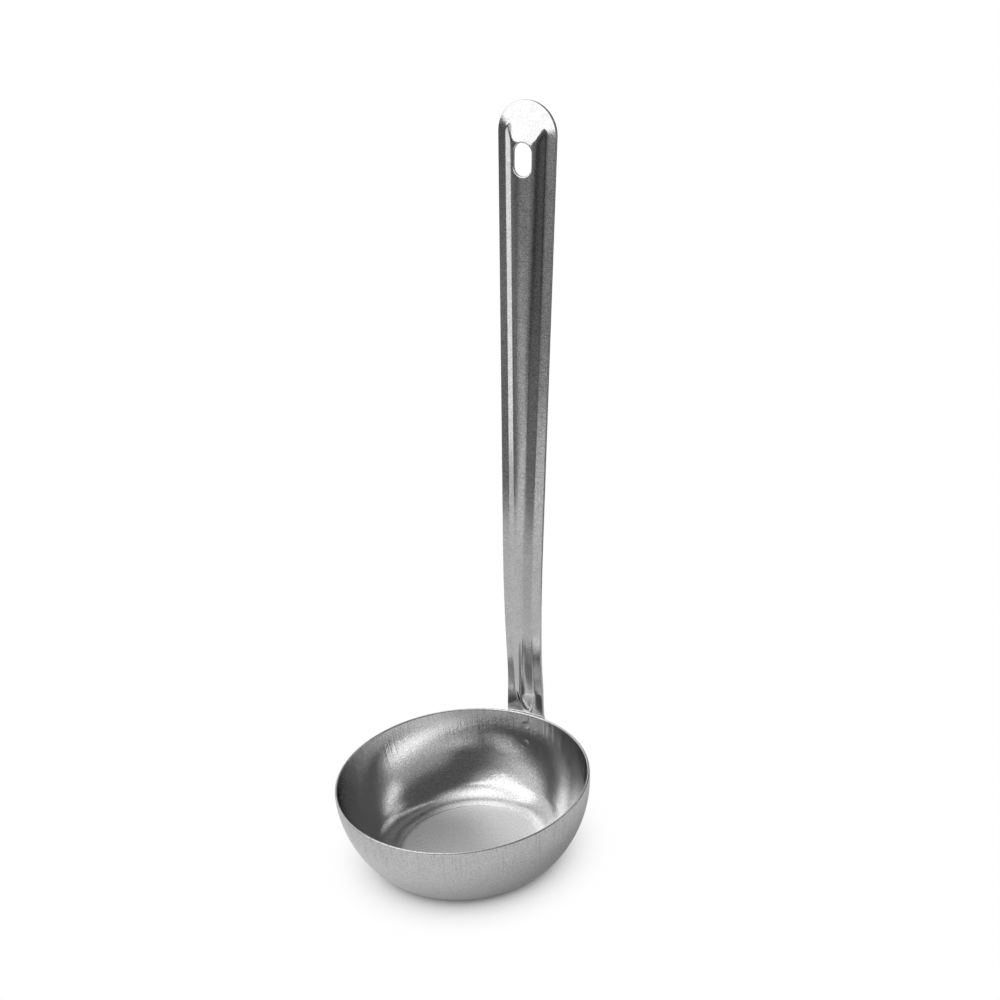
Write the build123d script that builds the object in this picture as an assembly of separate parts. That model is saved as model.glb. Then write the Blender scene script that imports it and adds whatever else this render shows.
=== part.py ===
from build123d import *
import os
from math import atan2, cos, degrees, hypot, radians, sin, sqrt, tan

# Soup ladle: a pressed bowl, a pressed strip handle and the spot welds between them.
# Frame: origin at the centre of the bowl's flat underside, +Z up, handle on the +Y side.

# Bowl
rim_radius = 45.0
bowl_depth = 30.4
bowl_sheet = 0.9
floor_radius = 25.9
corner_radius = 12.7
largest_corner_share = 0.8
rim_edge_round = 0.2

# Handle blank, measured along the strip from the bowl's rim
handle_sheet = 1.0
handle_run = 224.6
pad_run = 17.0
pad_half_width = 7.55
waist_half_width = 7.0
waist_run = 18.5
waist_blend_radius = 150.0
tip_radius = 11.45
pad_corner_radius = 5.0
blank_margin = 1.2

# Lean of the strip away from the bowl
foot_lean = radians(4.2)
foot_bend_run = 12.0
full_lean = radians(11.04)
full_lean_run = 65.5

# Stiffening rib, pressed forward out of the strip and hollow behind
flange_width = 3.25
flange_droop = radians(8.5)
tip_flange_droop = radians(5.0)
rib_wall_slope = radians(34.0)
rib_foot_height = 1.9
rib_top_height = 2.76
rib_crown_radius = 21.0
rib_start_run = 0.5
rib_foot_run = 9.0
foot_nose_slope = radians(20.0)
tip_nose_slope = radians(11.5)
crease_blend = 0.3
pad_wrap_end_run = 1.0
flange_start_run = 14.0

# Places of the strip's sections, closer together where its shape changes quickly
pad_station_shares = (1.0, 0.82, 0.66, 0.5, 0.36, 0.25, 0.16, 0.09, 0.04, 0.0)
foot_station_shares = (0.0, 0.06, 0.14, 0.23, 0.34, 0.48, 0.64, 0.82)
body_station_shares = (0.0, 0.015, 0.035, 0.065, 0.11, 0.18, 0.28, 0.4, 0.53, 0.66, 0.79, 0.9, 0.97)
nose_station_shares = (0.0, 0.1, 0.2, 0.3, 0.4, 0.49, 0.57, 0.64, 0.7, 0.76, 0.84, 1.0)

# Hanging slot
slot_width = 6.8
slot_length = 11.4
slot_to_tip = 19.9
slot_cut_depth = 6.0

# Spot welds between the handle's pad and the bowl's wall
weld_diameter = 4.5
weld_depths = (4.6, 12.2)
weld_end_recess = 0.15
weld_clearance = 0.05
seat_gap = 0.1
cut_overrun = 5.0

# Sizes that follow from the ones above
corner_to_rim_width = rim_radius - floor_radius
outer_corner_radius = min(corner_radius, corner_to_rim_width * largest_corner_share)
corner_to_rim_height = bowl_depth - outer_corner_radius
wall_radius = (
    corner_to_rim_width**2 + corner_to_rim_height**2 - outer_corner_radius**2
) / (2 * (corner_to_rim_width - outer_corner_radius))
wall_centre_radius = rim_radius - wall_radius
seat_radius = wall_radius + seat_gap
tip_centre_run = handle_run - tip_radius
rib_tip_radius = tip_radius - flange_width
rib_end_run = handle_run - flange_width
slot_centre_run = handle_run - slot_to_tip


def bend_by_arc(start, start_lean, end_lean, run):
    """End point of a circular bend in the YZ plane, and of a straight run if the lean stays."""
    turn = end_lean - start_lean
    if turn == 0:
        return (start[0] + run * sin(start_lean), start[1] + run * cos(start_lean))
    radius = run / turn
    return (
        start[0] + radius * (cos(start_lean) - cos(end_lean)),
        start[1] + radius * (sin(end_lean) - sin(start_lean)),
    )


def spine_at(run):
    """Y, Z and lean of the strip's base line at a run above the rim, negative down the bowl's wall."""
    if run <= 0:
        lean = -run / seat_radius
        return (
            wall_centre_radius + seat_radius * cos(lean),
            bowl_depth - seat_radius * sin(lean),
            lean,
        )
    point = (rim_radius + seat_gap, bowl_depth)
    bends = (
        (0, foot_bend_run, 0, foot_lean),
        (foot_bend_run, full_lean_run, foot_lean, full_lean),
        (full_lean_run, handle_run, full_lean, full_lean),
    )
    for first, last, first_lean, last_lean in bends:
        part_run = min(run, last) - first
        lean = first_lean + (last_lean - first_lean) * part_run / (last - first)
        if last == handle_run:
            part_run = run - first
        point = bend_by_arc(point, first_lean, lean, part_run)
        if run <= last:
            break
    return point[0], point[1], lean


def half_width(run):
    """Half the width of the blank at a run, without its round end."""
    if run > waist_run:
        rise_share = (run - waist_run) / (tip_centre_run - waist_run)
        return waist_half_width + (tip_radius - waist_half_width) * rise_share
    fall_share = max(run, 0) / waist_run
    return pad_half_width + (waist_half_width - pad_half_width) * fall_share


def smooth_share(value, start, end):
    """Share from 0 to 1 that rises smoothly between two runs."""
    share = min(max((value - start) / (end - start), 0), 1)
    return share * share * (3 - 2 * share)


def smooth_min(a, b, blend):
    return 0.5 * (a + b - sqrt((a - b) ** 2 + blend**2))


def smooth_max(a, b, blend):
    return 0.5 * (a + b + sqrt((a - b) ** 2 + blend**2))


def rib_half_width(run):
    """Half the width of the rib at its base, which starts in a round nose at the rim."""
    full = half_width(min(run, tip_centre_run)) - flange_width
    start_share = min(max((run - rib_start_run) / (rib_foot_run - rib_start_run), 0), 1)
    return full * sqrt(start_share)


def rib_height(run):
    rise_share = min(max(run / handle_run, 0), 1)
    return rib_foot_height + (rib_top_height - rib_foot_height) * rise_share


def pad_wrap(x, run):
    """How far the strip comes forward at x where it wraps round the bowl's wall."""
    y, z, lean = spine_at(run)
    radius = y / cos(lean)
    return radius - sqrt(radius**2 - x**2)


def front_height(x, run):
    """Height of the strip's front face in front of its base line."""
    wrap = pad_wrap(x, run)
    if run <= rib_start_run:
        return wrap
    past_tip_centre = max(run - tip_centre_run, 0)
    if past_tip_centre > 0:
        outside = hypot(x, past_tip_centre) - rib_tip_radius
    else:
        outside = abs(x) - rib_half_width(run)
    crown = rib_height(run) - x**2 / (2 * rib_crown_radius)
    foot_nose = (run - rib_start_run) * tan(foot_nose_slope)
    tip_nose = (rib_end_run - run) * tan(tip_nose_slope)
    top = smooth_min(smooth_min(crown, tip_nose, crease_blend), foot_nose, crease_blend)
    wall = -outside * tan(rib_wall_slope)
    rib = smooth_max(smooth_min(top, wall, crease_blend), 0, crease_blend / 2)
    tip_share = (past_tip_centre / tip_radius) ** 2
    droop_slope = tan(flange_droop) + (tan(tip_flange_droop) - tan(flange_droop)) * tip_share
    flange_share = smooth_share(run, pad_wrap_end_run, flange_start_run)
    droop = droop_slope * smooth_max(outside, 0, crease_blend) * flange_share
    return rib - droop + (1 - flange_share) * wrap


def across_strip(run):
    """Places across the strip where its section bends, from the middle to one edge."""
    layout_run = min(max(run, rib_foot_run), rib_end_run - tip_radius)
    base = rib_half_width(layout_run)
    top = base - rib_height(layout_run) / tan(rib_wall_slope)
    edge = half_width(min(run, tip_centre_run)) + blank_margin
    flange = (base + crease_blend + edge) / 2
    return (
        top / 2,
        top - crease_blend,
        top,
        top + crease_blend,
        (top + base) / 2,
        base - crease_blend,
        base,
        base + crease_blend,
        flange,
        edge,
    )


def strip_section(run):
    """Closed section of the pressed sheet, square to the strip."""
    y, z, lean = spine_at(run)
    plane = Plane(
        origin=(0, y, z),
        x_dir=(1, 0, 0),
        z_dir=(0, sin(lean), cos(lean)),
    )
    half = across_strip(run)
    places = [-x for x in reversed(half)] + [0] + list(half)
    slope_step = crease_blend / 100
    front = []
    back = []
    for x in places:
        height = front_height(x, run)
        slope = (front_height(x + slope_step, run) - front_height(x - slope_step, run)) / (2 * slope_step)
        length = sqrt(1 + slope**2)
        front.append((x, -height))
        back.append((x + handle_sheet * slope / length, -height + handle_sheet / length))
    outline = Wire([
        Spline(*front),
        Line(front[-1], back[-1]),
        Spline(*reversed(back)),
        Line(back[0], front[0]),
    ])
    return plane * Face(outline)


def pressed_strip():
    """The handle's sheet before it is trimmed to the blank's outline."""
    pad_runs = [-(pad_run + blank_margin) * share for share in pad_station_shares]
    foot_runs = [rib_start_run + (flange_start_run - rib_start_run) * share for share in foot_station_shares]
    nose_start = rib_end_run - tip_radius
    body_runs = [flange_start_run + (nose_start - flange_start_run) * share for share in body_station_shares]
    nose_runs = [nose_start + (handle_run + blank_margin - nose_start) * share for share in nose_station_shares]
    return loft([strip_section(run) for run in pad_runs + foot_runs + body_runs + nose_runs])


def blank_outline():
    """The blank's outline seen from the front, cut straight through along Y."""
    pad_z = spine_at(-pad_run)[1]
    rim_z = spine_at(0)[1]
    waist_z = spine_at(waist_run)[1]
    tip_z = spine_at(tip_centre_run)[1]
    top_z = spine_at(handle_run)[1]
    sides = Polyline(
        (-tip_radius, tip_z),
        (-waist_half_width, waist_z),
        (-pad_half_width, rim_z),
        (-pad_half_width, pad_z),
        (pad_half_width, pad_z),
        (pad_half_width, rim_z),
        (waist_half_width, waist_z),
        (tip_radius, tip_z),
    )
    tip = EllipticalCenterArc((0, tip_z), tip_radius, top_z - tip_z, start_angle=0, arc_size=180)
    outline = Face(Wire([*sides.edges(), tip]))
    waist_corners = [v for v in outline.vertices() if abs(v.Y - waist_z) < crease_blend]
    outline = fillet(waist_corners, waist_blend_radius)
    pad_corners = [v for v in outline.vertices() if abs(v.Y - pad_z) < crease_blend]
    outline = fillet(pad_corners, pad_corner_radius)
    reach = rim_radius + handle_run
    return extrude(Plane.XZ * outline, -reach)


def bowl_profile():
    """Half section of the bowl: flat floor, corner arc, wall arc and rim, in the XZ plane."""
    corner_centre = (floor_radius, outer_corner_radius)
    wall_centre = (wall_centre_radius, bowl_depth)
    down_angle = degrees(atan2(-corner_to_rim_height, floor_radius - wall_centre_radius))
    inner_corner = outer_corner_radius - bowl_sheet
    inner_wall = wall_radius - bowl_sheet
    outer_corner_arc = CenterArc(corner_centre, outer_corner_radius, -90, 90 + down_angle)
    outer_wall_arc = CenterArc(wall_centre, wall_radius, down_angle, -down_angle)
    inner_wall_arc = CenterArc(wall_centre, inner_wall, down_angle, -down_angle)
    inner_corner_arc = CenterArc(corner_centre, inner_corner, -90, 90 + down_angle)
    edges = [
        Line((0, 0), (floor_radius, 0)),
        outer_corner_arc,
        outer_wall_arc,
        Line((rim_radius, bowl_depth), (rim_radius - bowl_sheet, bowl_depth)),
        inner_wall_arc,
        inner_corner_arc,
        Line((floor_radius, bowl_sheet), (0, bowl_sheet)),
        Line((0, bowl_sheet), (0, 0)),
    ]
    return Plane.XZ * Face(Wire(edges))


def weld_plane(depth):
    """Plane on the bowl's outer wall at a depth below the rim, facing outwards."""
    lean = -depth / wall_radius
    return Plane(
        origin=(0, wall_centre_radius + wall_radius * cos(lean), bowl_depth + wall_radius * sin(lean)),
        x_dir=(1, 0, 0),
        z_dir=(0, cos(lean), sin(lean)),
    )


def weld_cylinder(depth, radius, inner_reach, outer_reach):
    """Cylinder square to the wall, from inner_reach inside its outer face to outer_reach outside it."""
    outline = weld_plane(depth).offset(-inner_reach) * Circle(radius)
    return extrude(outline, inner_reach + outer_reach)


def weld_holes():
    return [
        weld_cylinder(depth, weld_diameter / 2 + weld_clearance, cut_overrun, cut_overrun)
        for depth in weld_depths
    ]


def make_bowl():
    bowl = revolve(bowl_profile(), Axis.Z)
    rim_edges = bowl.edges().group_by(Axis.Z)[-1]
    bowl = fillet(rim_edges, rim_edge_round)
    for hole in weld_holes():
        bowl -= hole
    return bowl


def make_handle():
    handle = pressed_strip() & blank_outline()
    y, z, lean = spine_at(slot_centre_run)
    slot_plane = Plane(origin=(0, y, z), x_dir=(0, sin(lean), cos(lean)), z_dir=(0, -cos(lean), sin(lean)))
    slot = slot_plane * SlotOverall(slot_length, slot_width)
    handle -= extrude(slot, slot_cut_depth, both=True)
    for hole in weld_holes():
        handle -= hole
    return handle


def make_spot_welds():
    inner_reach = bowl_sheet - weld_end_recess
    outer_reach = seat_gap + handle_sheet - weld_end_recess
    nuggets = [
        weld_cylinder(depth, weld_diameter / 2, inner_reach, outer_reach) for depth in weld_depths
    ]
    return Compound(children=nuggets)


os.makedirs("parts", exist_ok=True)
export_step(make_bowl(), "parts/bowl.step")
export_step(make_handle(), "parts/handle.step")
export_step(make_spot_welds(), "parts/spot_welds.step")
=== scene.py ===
import math
import bmesh
import bpy
import numpy as np
from mathutils import Matrix, Vector


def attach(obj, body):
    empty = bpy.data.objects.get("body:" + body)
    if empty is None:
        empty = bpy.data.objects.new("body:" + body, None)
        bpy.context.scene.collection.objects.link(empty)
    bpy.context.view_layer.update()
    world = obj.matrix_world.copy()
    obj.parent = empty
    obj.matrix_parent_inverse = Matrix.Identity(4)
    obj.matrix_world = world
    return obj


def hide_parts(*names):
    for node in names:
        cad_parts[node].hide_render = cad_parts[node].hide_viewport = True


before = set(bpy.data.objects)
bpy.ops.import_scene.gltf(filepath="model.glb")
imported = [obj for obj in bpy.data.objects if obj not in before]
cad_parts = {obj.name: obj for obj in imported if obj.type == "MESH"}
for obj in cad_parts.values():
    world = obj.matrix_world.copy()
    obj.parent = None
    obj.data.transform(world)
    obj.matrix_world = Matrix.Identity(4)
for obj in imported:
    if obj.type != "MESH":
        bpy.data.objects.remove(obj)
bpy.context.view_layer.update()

MM = 0.001

# Bowl, with the lengths of the solid
RIM_RADIUS = 45.0 * MM
BOWL_DEPTH = 30.4 * MM
BOWL_SHEET = 0.9 * MM
FLOOR_RADIUS = 25.9 * MM
CORNER_RADIUS = 12.7 * MM

# Rounded rim and the faint crease round the floor
RIM_EDGE_ROUND = 0.42 * MM
FLOOR_CREASE_RADIUS = 24.7 * MM
FLOOR_CREASE_DEPTH = 0.06 * MM
FLOOR_CREASE_HALF = 0.55 * MM

# Handle blank and its lean, measured along the strip from the bowl's rim
SHEET = 1.0 * MM
HANDLE_RUN = 224.6 * MM
PAD_RUN = 17.0 * MM
PAD_HALF = 7.55 * MM
PAD_CORNER = 5.0 * MM
WAIST_HALF = 7.0 * MM
WAIST_RUN = 18.5 * MM
WAIST_BLEND = 0.2 * MM
TIP_RADIUS = 11.45 * MM
FOOT_LEAN = math.radians(4.2)
FOOT_BEND_RUN = 12.0 * MM
FULL_LEAN = math.radians(11.04)
FULL_LEAN_RUN = 65.5 * MM
SEAT_GAP = 0.1 * MM

# Rib pressed forward out of the strip. Slopes are rise over run.
FLANGE_WIDTH = 3.25 * MM
FLANGE_DROOP = math.tan(math.radians(8.5))
TIP_FLANGE_DROOP = math.tan(math.radians(5.0))
WALL_SLOPE = math.tan(math.radians(34.0))
RIB_FOOT_HEIGHT = 1.9 * MM
RIB_TOP_HEIGHT = 2.76 * MM
RIB_CROWN_RADIUS = 21.0 * MM
RIB_START_RUN = 0.5 * MM
RIB_FOOT_RUN = 9.0 * MM
FOOT_NOSE_SLOPE = math.tan(math.radians(18.0))
TIP_NOSE_SLOPE = math.tan(math.radians(15.0))
TIP_NOSE_CROWN_RADIUS = 21.0 * MM
TIP_WALL_FADE = 4.0 * MM
CREASE_BLEND = 0.3 * MM
PAD_WRAP_END_RUN = 1.0 * MM
FLANGE_START_RUN = 14.0 * MM

# Hanging slot
SLOT_HALF_WIDTH = 3.4 * MM
SLOT_HALF_LENGTH = 5.7 * MM
SLOT_TO_TIP = 19.9 * MM

# Rounded edges of the strip
BLANK_EDGE_ROUND = 0.22 * MM
SLOT_EDGE_ROUND = 0.45 * MM

# Spot welds: their depths below the rim, their domed ends as shares of the shown radius with heights in
# millimetres, and the dents that they leave inside the bowl
WELD_DEPTHS = (4.6 * MM, 12.2 * MM)
WELD_RADIUS = 2.25 * MM
WELD_SHOWN_SHARE = 0.8
WELD_END_RECESS = 0.1 * MM
WELD_END_SHARES = (0.02, 0.5, 0.85, 0.97, 1.0)
WELD_END_HEIGHTS = (0.06, 0.045, 0.02, 0.0, -0.03)
WELD_DIMPLE = 0.02 * MM
WELD_DIMPLE_RADIUS = 2.2 * MM
WELD_DIMPLE_FLAT_SHARE = 0.3
WELD_SIDE_REACH = 3.0 * MM

# Lengths that follow from those above
CORNER_TO_RIM_WIDTH = RIM_RADIUS - FLOOR_RADIUS
CORNER_TO_RIM_HEIGHT = BOWL_DEPTH - CORNER_RADIUS
WALL_RADIUS = (
    CORNER_TO_RIM_WIDTH**2 + CORNER_TO_RIM_HEIGHT**2 - CORNER_RADIUS**2
) / (2 * (CORNER_TO_RIM_WIDTH - CORNER_RADIUS))
WALL_CENTRE = RIM_RADIUS - WALL_RADIUS
SEAT_RADIUS = WALL_RADIUS + SEAT_GAP
TIP_CENTRE_RUN = HANDLE_RUN - TIP_RADIUS
RIB_TIP_RADIUS = TIP_RADIUS - FLANGE_WIDTH
RIB_END_RUN = HANDLE_RUN - FLANGE_WIDTH
SLOT_RUN = HANDLE_RUN - SLOT_TO_TIP

# Grid of the handle: runs where its rows change their spacing, and how many rows and columns each
# part has. The window is the block of cells round the slot that rings fill instead.
PAD_ROWS_END = 0.3 * MM
FOOT_ROWS_END = RIB_FOOT_RUN + 2 * MM
NECK_ROWS_END = 30 * MM
WINDOW_START = SLOT_RUN - SLOT_HALF_LENGTH - 2.5 * MM
WINDOW_END = SLOT_RUN + SLOT_HALF_LENGTH + 2.4 * MM
WINDOW_HALF_WIDTH = 5.2 * MM
PAD_CORNER_ROWS = 20
PAD_ROWS = 24
FOOT_ROWS = 56
NECK_ROWS = 30
BODY_ROWS = 100
WINDOW_ROWS = 28
TIP_ROWS = 70
FLANGE_COLUMNS = 13
WALL_COLUMNS = 15
PLATEAU_COLUMNS = 25
COLUMN_EASE = 0.7
SLOT_RINGS = 16
SLOT_RING_EASE = 0.3
EDGE_POINTS = 6
HANDLE_MERGE = 0.002 * MM

# Grid of the bowl: points along each part of its half section, and turns round Z
FLOOR_START = 0.4 * MM
FLOOR_END = FLOOR_RADIUS - 0.3 * MM
FLOOR_POINTS = 36
CREASE_POINTS = 13
CORNER_POINTS = 36
WALL_POINTS = 60
RIM_POINTS = 9
BOWL_TURNS = 288
BOWL_TURN_EASE = 0.72
FRONT_ANGLE = 1.5 * math.pi
BOWL_MERGE = 0.001 * MM

WELD_TURNS = 48
WELD_MERGE = 0.0005 * MM


# Formulas

def smooth_step(value, start, end):
    """0 before the start, 1 past the end and 3 t squared - 2 t cubed between, where t is the share."""
    share = np.clip((value - start) / (end - start), 0, 1)
    return share * share * (3 - 2 * share)


def smooth_min(a, b, blend):
    """The smaller of two values, with a hyperbola about as wide as the blend where they cross."""
    return 0.5 * (a + b - np.sqrt((a - b) ** 2 + blend**2))


def smooth_max(a, b, blend):
    """The larger of two values, with a hyperbola about as wide as the blend where they cross."""
    return 0.5 * (a + b + np.sqrt((a - b) ** 2 + blend**2))


def eased_spread(start, end, count, ease):
    """Values from start to end, at shares t - ease sin(2 pi t) / (2 pi), closer together at both ends."""
    share = np.linspace(0, 1, count)
    eased = share - ease * np.sin(2 * math.pi * share) / (2 * math.pi)
    return start + (end - start) * eased


def joined_spreads(*spreads):
    """Spreads one after another, each without its first value, which is the last of the one before."""
    parts = [spreads[0]] + [spread[1:] for spread in spreads[1:]]
    return np.concatenate(parts)


def arc_points(centre, radius, start, end, count):
    """Points of an arc: centre + radius (cos t, sin t), from the start angle to the end angle."""
    turn = np.linspace(start, end, count)
    return np.stack([centre[0] + radius * np.cos(turn), centre[1] + radius * np.sin(turn)], -1)


# Meshes

def new_mesh_object(name, points, faces):
    """Object at the origin with the given points and faces."""
    mesh = bpy.data.meshes.new(name)
    mesh.from_pydata([tuple(p) for p in points], [], [tuple(int(i) for i in f) for f in faces])
    mesh.update()
    obj = bpy.data.objects.new(name, mesh)
    bpy.context.scene.collection.objects.link(obj)
    return obj


def clean_and_smooth(obj, merge_distance):
    """Merges the doubled corner points, turns the faces outwards and shades the surface smooth."""
    work = bmesh.new()
    work.from_mesh(obj.data)
    bmesh.ops.remove_doubles(work, verts=work.verts, dist=merge_distance)
    bmesh.ops.dissolve_degenerate(work, edges=work.edges, dist=merge_distance)
    bmesh.ops.recalc_face_normals(work, faces=work.faces)
    work.to_mesh(obj.data)
    work.free()
    obj.data.polygons.foreach_set("use_smooth", [True] * len(obj.data.polygons))
    obj.data.update()


def grid_faces(rows, columns, first=0, keep=None):
    """Corner indices of the cells of a grid, leaving out the cells where keep is false."""
    index = first + np.arange(rows * columns).reshape(rows, columns)
    quads = np.stack([index[:-1, :-1], index[:-1, 1:], index[1:, 1:], index[1:, :-1]], -1)
    if keep is None:
        return quads.reshape(-1, 4)
    return quads[keep]


def band_faces(loop_a, loop_b):
    """Cells between two closed loops of the same number of points."""
    return np.stack([loop_a, np.roll(loop_a, -1), np.roll(loop_b, -1), loop_b], -1)


def turned_faces(rows, turns, first=0):
    """Cells between the rings of a turned shape, and one flat face over each of its two end rings."""
    rings = first + np.arange(rows * turns).reshape(rows, turns)
    bands = [band_faces(ring, after) for ring, after in zip(rings[:-1], rings[1:])]
    return np.concatenate(bands).tolist() + [rings[0][::-1].tolist(), rings[-1].tolist()]


# Handle

def spine_at(run):
    """Y, Z and lean of the base line: the wall's arc below the rim, then two arcs and a straight.

    On each arc, y grows by the radius times the change of the lean's cosine, and z by the radius times
    the change of its sine."""
    run = np.asarray(run, float)
    below = np.minimum(run, 0) / SEAT_RADIUS
    y = WALL_CENTRE + SEAT_RADIUS * np.cos(below)
    z = BOWL_DEPTH + SEAT_RADIUS * np.sin(below)
    lean = -below
    first_radius = FOOT_BEND_RUN / FOOT_LEAN
    first = np.clip(run, 0, FOOT_BEND_RUN) / first_radius
    y = y + first_radius * (1 - np.cos(first))
    z = z + first_radius * np.sin(first)
    second_radius = (FULL_LEAN_RUN - FOOT_BEND_RUN) / (FULL_LEAN - FOOT_LEAN)
    second = np.clip(run - FOOT_BEND_RUN, 0, FULL_LEAN_RUN - FOOT_BEND_RUN) / second_radius
    y = y + second_radius * (np.cos(FOOT_LEAN) - np.cos(FOOT_LEAN + second))
    z = z + second_radius * (np.sin(FOOT_LEAN + second) - np.sin(FOOT_LEAN))
    straight = np.maximum(run - FULL_LEAN_RUN, 0)
    y = y + straight * math.sin(FULL_LEAN)
    z = z + straight * math.cos(FULL_LEAN)
    return y, z, lean + first + second


def half_width(run):
    """Half the blank's width: two straight tapers that meet in a smooth waist."""
    rise = WAIST_HALF + (TIP_RADIUS - WAIST_HALF) * (run - WAIST_RUN) / (TIP_CENTRE_RUN - WAIST_RUN)
    fall = WAIST_HALF + (PAD_HALF - WAIST_HALF) * (WAIST_RUN - np.maximum(run, 0)) / WAIST_RUN
    return smooth_max(rise, fall, WAIST_BLEND)


def rib_half_width(run):
    """Half the rib's width at its base: the blank's half without its flange, times the square root of
    the share of the rib's foot, which rounds the nose at the rim."""
    full = half_width(np.minimum(run, TIP_CENTRE_RUN)) - FLANGE_WIDTH
    share = np.clip((run - RIB_START_RUN) / (RIB_FOOT_RUN - RIB_START_RUN), 0, 1)
    return full * np.sqrt(share)


def rib_height(run):
    """Height of the rib's middle, which grows evenly from the foot to the tip."""
    return RIB_FOOT_HEIGHT + (RIB_TOP_HEIGHT - RIB_FOOT_HEIGHT) * np.clip(run / HANDLE_RUN, 0, 1)


def sheet_height(x, run, depth):
    """Height of the layer at a depth in the sheet, in front of the base line.

    The smaller of a crowned plateau, two sloped walls and two nose slopes, joined to a drooping flange
    and, near the rim, to the arc that wraps the bowl. A crown is x squared over twice its radius. The
    walls stand on straight lines and, past the tip's centre, on an arc, where they fade into the nose."""
    y, _, lean = spine_at(run)
    radius = y / np.cos(lean)
    wrap = radius - np.sqrt(radius**2 - x**2)
    past = np.maximum(run - TIP_CENTRE_RUN, 0)
    outside = np.where(past > 0, np.hypot(x, past) - RIB_TIP_RADIUS, np.abs(x) - rib_half_width(run))
    crown = rib_height(run) - x**2 / (2 * RIB_CROWN_RADIUS)
    foot_nose = (run - RIB_START_RUN) * FOOT_NOSE_SLOPE
    tip_nose = (RIB_END_RUN - run) * TIP_NOSE_SLOPE - x**2 / (2 * TIP_NOSE_CROWN_RADIUS)
    top = smooth_min(smooth_min(crown, tip_nose, CREASE_BLEND), foot_nose, CREASE_BLEND) - depth
    slant = math.sqrt(1 + WALL_SLOPE**2)
    slope = WALL_SLOPE + (TIP_NOSE_SLOPE - WALL_SLOPE) * smooth_step(past, 0, TIP_WALL_FADE)
    wall = -outside * slope - depth * slant
    rib = smooth_max(smooth_min(top, wall, CREASE_BLEND), -depth, CREASE_BLEND / 2)
    shifted = outside + depth * (slant - 1) / WALL_SLOPE
    droop_slope = FLANGE_DROOP + (TIP_FLANGE_DROOP - FLANGE_DROOP) * (past / TIP_RADIUS) ** 2
    flange_share = smooth_step(run, PAD_WRAP_END_RUN, FLANGE_START_RUN)
    droop = droop_slope * smooth_max(shifted, 0, CREASE_BLEND) * flange_share
    pressed = rib - droop + (1 - flange_share) * wrap
    return np.where(run <= RIB_START_RUN, wrap - depth, pressed)


def sheet_points(x, run, depth):
    """Points of the pressed sheet: the base line's point, moved across by x and forward, square to the
    lean, by the sheet's height."""
    x, run, depth = np.broadcast_arrays(x, run, depth)
    y, z, lean = spine_at(run)
    height = sheet_height(x, run, depth)
    return np.stack([x, y - height * np.cos(lean), z + height * np.sin(lean)], -1)


def slot_outline(directions):
    """Points of the slot's outline along directions from its centre, and the outline's normals there.

    A ray ends where its x is half the slot's width, if that is on a straight side, and otherwise where
    its distance from the centre of the round end is half the width."""
    straight = SLOT_HALF_LENGTH - SLOT_HALF_WIDTH
    dx, ds = directions[:, 0], directions[:, 1]
    side_scale = SLOT_HALF_WIDTH / np.maximum(np.abs(dx), 1e-12)
    side_hit = np.abs(ds * side_scale) <= straight
    centre = np.sign(ds) * straight
    along = ds * centre
    round_scale = along + np.sqrt(np.maximum(along**2 - centre**2 + SLOT_HALF_WIDTH**2, 0))
    scale = np.where(side_hit, side_scale, round_scale)
    points = directions * scale[:, None]
    round_normal = (points - np.stack([0 * centre, centre], -1)) / SLOT_HALF_WIDTH
    side_normal = np.stack([np.sign(dx), 0 * dx], -1)
    return points, np.where(side_hit[:, None], side_normal, round_normal)


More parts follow.
